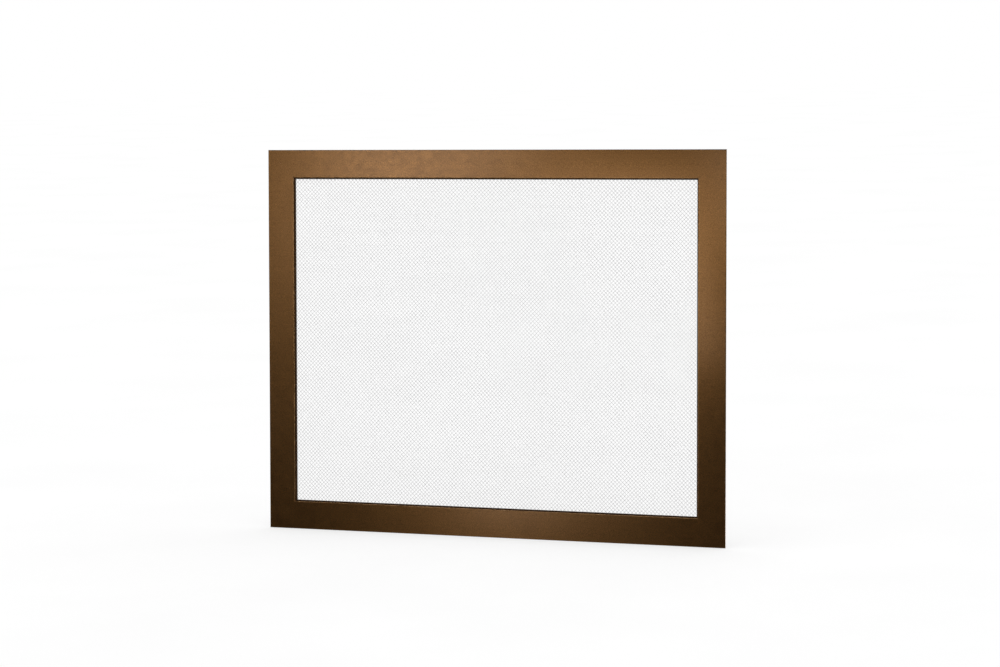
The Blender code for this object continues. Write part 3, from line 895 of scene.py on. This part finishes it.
def make_bracket(side):
    """A back plate with two lugs, as one welded piece with softened edges."""
    half_width = (BRACKET[1].x - BRACKET[0].x) / 2
    plate_front, plate_back = BRACKET[0].y - PIN_Y, BRACKET[0].y - PIN_Y + LUG_THICKNESS
    low, high = BRACKET[0].z, BRACKET[1].z
    half_lug = BRACKET[1].y - PIN_Y
    plate = box((-half_width, plate_front, low), (half_width, plate_back, high))
    outline = rounded(
        [
            (-half_lug, plate_back - LUG_THICKNESS / 2),
            (half_lug, plate_back - LUG_THICKNESS / 2),
            (half_lug, half_lug),
            (-half_lug, half_lug),
        ],
        [0, 0, LUG_ROUND * half_lug, LUG_ROUND * half_lug],
        steps=14,
    )
    steps = []
    for middle in (low + LUG_INSET + LUG_THICKNESS / 2, high - LUG_INSET - LUG_THICKNESS / 2):
        lug = prism(outline, LUG_THICKNESS)
        lug.transform(Matrix.Translation((0, 0, middle)))
        steps.append(("UNION", lug))
    bore = rod(PIN_RADIUS + GAP, low - CUT_REACH, high + CUT_REACH)
    steps.append(("DIFFERENCE", bore))
    name = f"{side}_leg_bracket"
    mesh = combined(plate, steps, bevel=BRACKET_BEVEL)
    matrix = hinge_matrix(side)
    piece(f"{name}_detail", mesh, POWDER_COAT, matrix, replaces=[name])
    lift = LUG_WELD_LIFT * BEAD_RADIUS
    places = [
        Matrix.Translation((0, plate_back + lift, low + LUG_INSET - lift)),
        Matrix.Translation((0, plate_back + lift, high - LUG_INSET + lift)),
    ]
    mesh = beads(places, LUG_WELD_LENGTH * half_lug)
    name = f"{side}_bracket_welds"
    piece(name, mesh, WELD, matrix, sharp=WELD_SHARP)


def threaded(radius, length):
    """The half outline of a threaded stud, from its chamfered tip down to height 0."""
    height = length - STUD_TIP_HEIGHT
    points = [(0, length), (radius - STUD_TIP_WIDTH, length), (radius - STUD_TIP_STEP, height)]
    height -= STUD_TIP_STEP
    while height > THREAD_PITCH:
        points.append((radius, height))
        points.append((radius - THREAD_DEPTH, height - THREAD_PITCH / 2))
        height -= THREAD_PITCH
    return points + [(radius, STUD_TIP_STEP), (radius, 0), (0, 0)]


def nut_mesh():
    """A hexagon nut on height 0, chamfered at its other end."""
    radius = (NUT[1].x - NUT[0].x) / 2 / cos(pi / 6)
    height = NUT[1].y - NUT[0].y
    foot = NUT_CONE_FOOT * radius + height
    cone = rod(foot, 0, NUT_CONE_HEIGHT * height, 64, NUT_CONE_END * radius)
    bore = rod((STUD[1].x - STUD[0].x) / 2 + GAP / 2, -CUT_REACH, CUT_REACH, 32)
    steps = [("INTERSECT", cone), ("DIFFERENCE", bore)]
    return combined(rod(radius, 0, height, 6), steps, bevel=NUT_BEVEL, segments=2)


def make_studs_and_nuts(side):
    """The two weld studs and nuts that hold a bracket."""
    matrix = hinge_matrix(side)
    stud_radius = (STUD[1].x - STUD[0].x) / 2
    stud_length = STUD[1].y - STUD[0].y
    for number in (1, 2):
        stud_low, stud_high = local_box(f"{side}_bracket_stud_{number}")
        place = matrix.inverted() @ PANEL @ ((stud_low + stud_high) / 2)
        at = matrix @ Matrix.Translation((place.x, stud_low.y - PIN_Y, place.z)) @ BACKWARDS
        name = f"{side}_bracket_stud_{number}"
        mesh = turned(threaded(stud_radius, stud_length), segments=32)
        piece(f"{name}_detail", mesh, ZINC, at, replaces=[name])
        at = matrix @ Matrix.Translation((place.x, NUT[0].y - PIN_Y, place.z)) @ BACKWARDS
        name = f"{side}_bracket_nut_{number}"
        mesh = nut_mesh()
        piece(f"{name}_detail", mesh, ZINC, at, replaces=[name])


def ring_profile(radius, bottom, top, hole):
    """A flat ring whose four edges are softened."""
    soft = min(WASHER_SOFTENING, (top - bottom) / 4)
    corners = [(hole, top), (radius, top), (radius, bottom), (hole, bottom)]
    return rounded(corners, [soft] * 4, steps=3)


def make_pin(side):
    """The pin with its domed head, a dished push-on clip under it, and two friction washers."""
    matrix = hinge_matrix(side)
    head_radius = (PIN[1].x - PIN[0].x) / 2
    seat = BRACKET[1].z - LUG_INSET + GAP
    dome = DOME * (PIN[1].z - seat)
    outline = []
    for k in range(DOME_STEPS + 1):
        angle = pi / 2 * k / DOME_STEPS
        outline.append((head_radius * sin(angle), PIN[1].z - dome + dome * cos(angle)))
    tip = PIN[0].z
    outline += [(head_radius, seat), (PIN_RADIUS, seat), (PIN_RADIUS, tip + PIN_TIP_CHAMFER)]
    outline += [(PIN_RADIUS - PIN_TIP_CHAMFER, tip), (0, tip)]
    name = f"{side}_hinge_pin"
    mesh = turned(outline)
    piece(f"{name}_detail", mesh, ZINC, matrix, replaces=[name])
    clip_low, clip_high = local_box(f"{side}_pin_clip")
    radius = (clip_high.x - clip_low.x) / 2
    dish = [
        (PIN_RADIUS + CLIP_CLEARANCE, clip_low.z + CLIP_SHEET),
        (PIN_RADIUS + CLIP_CLEARANCE, clip_low.z),
        (PIN_RADIUS + CLIP_FLAT, clip_low.z),
        (radius - CLIP_FLAT, clip_high.z - CLIP_RIM),
        (radius, clip_high.z - CLIP_RIM),
        (radius, clip_high.z),
        (radius - CLIP_RIM_FLAT, clip_high.z),
    ]
    name = f"{side}_pin_clip"
    mesh = turned(dish, closed=True)
    piece(f"{name}_detail", mesh, ZINC, matrix, replaces=[name])
    for level in ("lower", "upper"):
        name = f"{side}_{level}_washer"
        low, high = local_box(name)
        points = ring_profile((high.x - low.x) / 2, low.z, high.z, PIN_RADIUS + GAP)
        mesh = turned(points, closed=True)
        piece(f"{name}_detail", mesh, NYLON, matrix, replaces=[name])


def leg_tip_heights():
    """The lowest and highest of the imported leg's points at its tip."""
    tip = [p.z for p in local_points("right_leg") if p.y > LEG[1].y - TIP_REACH]
    return min(tip), max(tip)


def leg_side_outline(barrel_low, barrel_high):
    """The tapered bar seen from the side, from the pin's axis to its tip inside the foot."""
    tip_low, tip_high = leg_tip_heights()
    end = LEG[1].y - PIN_Y
    root_low, root_high = barrel_low + LEG_ROOT_INSET, barrel_high - LEG_ROOT_INSET
    corners = [
        (0, root_low),
        (LEG_STRAIGHT, root_low),
        (end, tip_low),
        (end, tip_high),
        (LEG_STRAIGHT, root_high),
        (0, root_high),
    ]
    radii = [0, LEG_BEND, LEG_TIP_RADIUS, LEG_TIP_RADIUS, LEG_BEND, 0]
    return rounded(corners, radii, steps=8)


def make_leg(side, outward):
    """The folding leg: a tapered bar welded to a barrel, with the heel that stops it."""
    matrix = hinge_matrix(side)
    barrel_low = local_box("right_lower_washer")[1].z + GAP
    barrel_high = local_box("right_upper_washer")[0].z - GAP
    bar = prism(leg_side_outline(barrel_low, barrel_high), LEG_THICKNESS)
    bar.transform(SIDE_VIEW)
    middle = (barrel_low + barrel_high) / 2
    across = sorted((0, outward * HEEL_WIDTH))
    heel_front = BRACKET[0].y + LUG_THICKNESS + GAP - PIN_Y
    heel = box(
        (across[0], heel_front, middle - HEEL_HEIGHT / 2),
        (across[1], 0, middle + HEEL_HEIGHT / 2),
    )
    steps = [
        ("UNION", rod(BARREL_RADIUS, barrel_low, barrel_high, 64)),
        ("UNION", heel),
        ("DIFFERENCE", rod(PIN_RADIUS + GAP, 0, BORE_TOP)),
    ]
    name = f"{side}_leg"
    mesh = combined(bar, steps, bevel=LEG_BEVEL)
    piece(f"{name}_detail", mesh, POWDER_COAT, matrix, name, replaces=[name])


# From the sole's front edge round to the top's front edge
FOOT_RADII = (0.001, 0.001, 0.003, 0.0015)
FOOT_BEVEL = 0.0003
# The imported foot's points this near to its front and back give the heights of its top
FRONT_REACH = 0.003
BACK_REACH = 0.004
FOOT_GROOVES = 5
GROOVE_PITCH = 0.003
GROOVE_WIDTH = 0.0012
GROOVE_DEPTH = 0.0005
FIRST_GROOVE = 0.005
# The grooves' cutters reach from this height to above the foot, and out of its side
GROOVE_LOW = 0.011
GROOVE_HIGH = 0.05
GROOVE_CLEAR = 0.001


def make_foot(side):
    """The rubber shoe: a ribbed grip, rounded edges, and a flat sole."""
    front, back = FOOT[0].y - PIN_Y, FOOT[1].y - PIN_Y
    points = local_points("right_foot")
    top_front = max(p.z for p in points if p.y < FOOT[0].y + FRONT_REACH)
    top_back = max(p.z for p in points if p.y > FOOT[1].y - BACK_REACH)
    corners = [
        (front, (PIN_Y + front) * tan(LEAN)),
        (back, (PIN_Y + back) * tan(LEAN)),
        (back, top_back),
        (front, top_front),
    ]
    width = FOOT[1].x - FOOT[0].x
    shoe = prism(rounded(corners, FOOT_RADII, steps=6), width)
    shoe.transform(SIDE_VIEW)
    tip_low, tip_high = leg_tip_heights()
    half = LEG_THICKNESS / 2 + GAP
    end = LEG[1].y - PIN_Y + GAP
    socket = box((-half, front - CUT_REACH, tip_low - GAP), (half, end, tip_high + 2 * GAP))
    steps = [("DIFFERENCE", socket)]
    for index in range(FOOT_GROOVES):
        y = front + FIRST_GROOVE + index * GROOVE_PITCH
        for across in (-1, 1):
            inner = across * (width / 2 - GROOVE_DEPTH)
            outer = across * (width / 2 + GROOVE_CLEAR)
            low_x, high_x = sorted((inner, outer))
            groove = box((low_x, y, GROOVE_LOW), (high_x, y + GROOVE_WIDTH, GROOVE_HIGH))
            steps.append(("DIFFERENCE", groove))
    name = f"{side}_foot"
    mesh = combined(shoe, steps, bevel=FOOT_BEVEL, segments=2)
    matrix = hinge_matrix(side)
    body = f"{side}_leg"
    piece(f"{name}_detail", mesh, RUBBER, matrix, body, replaces=[name])


# ---------------- stage

CAMERA_LENS = 109.8
CAMERA_TURN = radians(20.93)
CAMERA_TILT = radians(3.38)
CAMERA_ROLL = radians(0.07)
CAMERA_DISTANCE = 6.18
CAMERA_REACH = 200
# How far the camera stands to the right of a line through the panel's middle, and above it
AIM_RIGHT = 0.0182
AIM_UP = 0.0219
FLOOR_SIZE = 60
FLOOR_THICKNESS = 0.002
# A hair below height 0, so that the soles and the rail's edge never share its plane
FLOOR_TOP = -0.0002
FLOOR_GLOW = 0.62


def make_camera():
    """The photograph's view: to the right of the panel and a little above it, from far off."""
    camera = bpy.data.cameras.new("camera")
    camera.lens = CAMERA_LENS
    camera.clip_end = CAMERA_REACH
    item = bpy.data.objects.new("camera", camera)
    bpy.context.scene.collection.objects.link(item)
    front_middle = PANEL_CENTRE @ Matrix.Translation((0, -BAR_THICKNESS, 0))
    looking = (
        Matrix.Rotation(CAMERA_TURN, 4, "Z")
        @ Matrix.Rotation(-CAMERA_TILT, 4, "X")
        @ Matrix.Rotation(CAMERA_ROLL, 4, "Y")
    )
    away = Matrix.Translation((AIM_RIGHT, -CAMERA_DISTANCE, AIM_UP))
    item.matrix_world = front_middle @ looking @ away @ Matrix.Rotation(pi / 2, 4, "X")
    bpy.context.scene.camera = item


def make_floor():
    """A pale floor, lit from below too like a light table, so that shadows on it stay faint."""
    mesh = prism([(-1, -1), (1, -1), (1, 1), (-1, 1)], FLOOR_THICKNESS)
    mesh.transform(Matrix.Diagonal((FLOOR_SIZE / 2, FLOOR_SIZE / 2, 1, 1)))
    n = Nodes("pale_floor")
    colour = n.ramp(n.noise(2, 3), (0.33, 0.33, 0.33), (0.35, 0.35, 0.35))
    n.surface(colour, n.spread(n.noise(3, 2), 0.85, 0.9), 0.0)
    n.shader.inputs["Specular IOR Level"].default_value = 0.0
    n.shader.inputs["Emission Color"].default_value = (1, 1, 1, 1)
    n.shader.inputs["Emission Strength"].default_value = FLOOR_GLOW
    mesh.materials.append(n.material)
    item = bpy.data.objects.new("floor", mesh)
    item.location.z = FLOOR_TOP - FLOOR_THICKNESS / 2
    bpy.context.scene.collection.objects.link(item)
    item.visible_glossy = False


WORLD_IN_VIEW = 1.0
WORLD_ON_SURFACES = 1.12
WORLD_IN_REFLECTIONS = 0.005


def make_world():
    """A white background and even white light, which is nearly dark in reflections."""
    world = bpy.data.worlds.new("studio")
    bpy.context.scene.world = world
    world.use_nodes = True
    tree = world.node_tree
    path = tree.nodes.new("ShaderNodeLightPath")
    background = tree.nodes["Background"]
    background.inputs["Color"].default_value = (1, 1, 1, 1)
    strength = tree.nodes.new("ShaderNodeValue").outputs["Value"]
    strength.default_value = WORLD_ON_SURFACES
    for output, value in (
        ("Is Camera Ray", WORLD_IN_VIEW),
        ("Is Glossy Ray", WORLD_IN_REFLECTIONS),
    ):
        choice = tree.nodes.new("ShaderNodeMix")
        choice.data_type = "FLOAT"
        tree.links.new(path.outputs[output], choice.inputs["Factor"])
        tree.links.new(strength, choice.inputs["A"])
        choice.inputs["B"].default_value = value
        strength = choice.outputs["Result"]
    tree.links.new(strength, background.inputs["Strength"])


# The softboxes for the sheen on the bronze bars. Name, where the camera sees its reflection in the
# panel's face (across, up), distance from there, side of its square, radiance
SHEEN_SOFTBOXES = (
    ("front_left", (-0.15, 0.75), 1.3, 0.45, 2.3),
    ("far_left", (-1.0, 0.6), 1.3, 0.75, 0.45),
    ("low_front", (0.05, 0.15), 0.9, 0.20, 2.4),
    ("near_middle", (0.3, 0.55), 0.4, 0.40, 0.85),
    ("near_right", (0.55, 0.7), 0.45, 0.25, 1.0),
)
# Name, place, side of its square, radiance
FRONT_SOFTBOXES = (
    ("front_below", (0, -1.6, -1.8), 2.2, 0.20),
)
CLOTH_SOFTBOXES = (
    ("cloth_left", (-2.2, -3.4, 1.9), 2.2, 1.5),
    ("cloth_right", (1.6, -3.6, 1.2), 1.6, 1.0),
)
SEAT_SOFTBOXES = (
    ("seat_top_left", (-1.9, -1.3, 3.0), 0.8, 3.0),
)
BACK_SOFTBOXES = (
    ("back_wall", (0, 3.2, 0.6), 6.0, 0.22),
    ("back_left", (-1.3, 1.6, 1.5), 0.9, 1.6),
    ("back_right", (1.5, 1.9, 0.9), 0.9, 1.0),
    ("back_below", (0, 1.6, -1.5), 2.6, 0.30),
    ("back_low_left", (-1.9, 2.2, -0.3), 0.9, 0.9),
    ("back_low_right", (1.5, 2.4, -0.9), 1.0, 1.9),
    ("side_left", (-2.6, 0.4, 0.6), 1.6, 0.5),
    ("side_right", (2.6, 0.4, 0.6), 1.6, 0.5),
)
AIM = Vector((0, 0, 0.4))


def softbox(name, centre, size, radiance):
    """A square area light that faces the screen."""
    light = bpy.data.lights.new(name, "AREA")
    light.shape = "SQUARE"
    light.size = size
    light.energy = radiance * pi * size * size
    item = bpy.data.objects.new(name, light)
    item.location = centre
    item.rotation_euler = (AIM - Vector(centre)).to_track_quat("-Z", "Y").to_euler()
    item.visible_camera = False
    bpy.context.scene.collection.objects.link(item)
    return item


def mirrored(spot, distance):
    """The place that the camera sees in a spot on the panel's face, as if in a mirror."""
    face = PANEL @ Vector((spot[0], -BAR_THICKNESS, spot[1]))
    sight = (face - bpy.context.scene.camera.matrix_world.translation).normalized()
    return face + distance * sight.reflect(PANEL.to_3x3() @ Vector((0, 1, 0)))


def make_lights():
    """No softbox lights the floor, or is hidden by it, and what is in front has lights of its own.

    So the screen's back reflects as much light from below as a pale floor would give it.
    """
    sheen = [
        (name, mirrored(spot, distance), size, radiance)
        for name, spot, distance, size, radiance in SHEEN_SOFTBOXES
    ]
    for group, receivers in (
        (sheen, THE_REST),
        (FRONT_SOFTBOXES, THE_REST),
        (CLOTH_SOFTBOXES, CLOTH_ALONE),
        (SEAT_SOFTBOXES, SEATS_ALONE),
        (BACK_SOFTBOXES, WHOLE_SCREEN),
    ):
        for settings in group:
            linking = softbox(*settings).light_linking
            linking.receiver_collection = receivers
            linking.blocker_collection = WHOLE_SCREEN


# ---------------- the whole screen


def make_screen():
    """All the pieces, side by side round the frame and then hinge by hinge."""
    for side, kind, angle, distance, half_opening in SIDES:
        make_bar(side, kind, angle, distance, half_opening)
        make_seat_angle(side, angle, distance, half_opening)
        make_retainer(side, angle, distance, half_opening)
        make_seat_welds(side, angle, distance, half_opening)
    for level, side, across, up in GUSSET_CORNERS:
        make_gusset(level, side, across, up)
    make_screws()
    make_cloth()
    for side, outward in (("left", -1), ("right", 1)):
        make_bracket(side)
        make_studs_and_nuts(side)
        make_pin(side)
        make_leg(side, outward)
        make_foot(side)


make_camera()
make_floor()
make_world()
make_lights()
make_screen()
bpy.context.scene.view_settings.view_transform = "Standard"
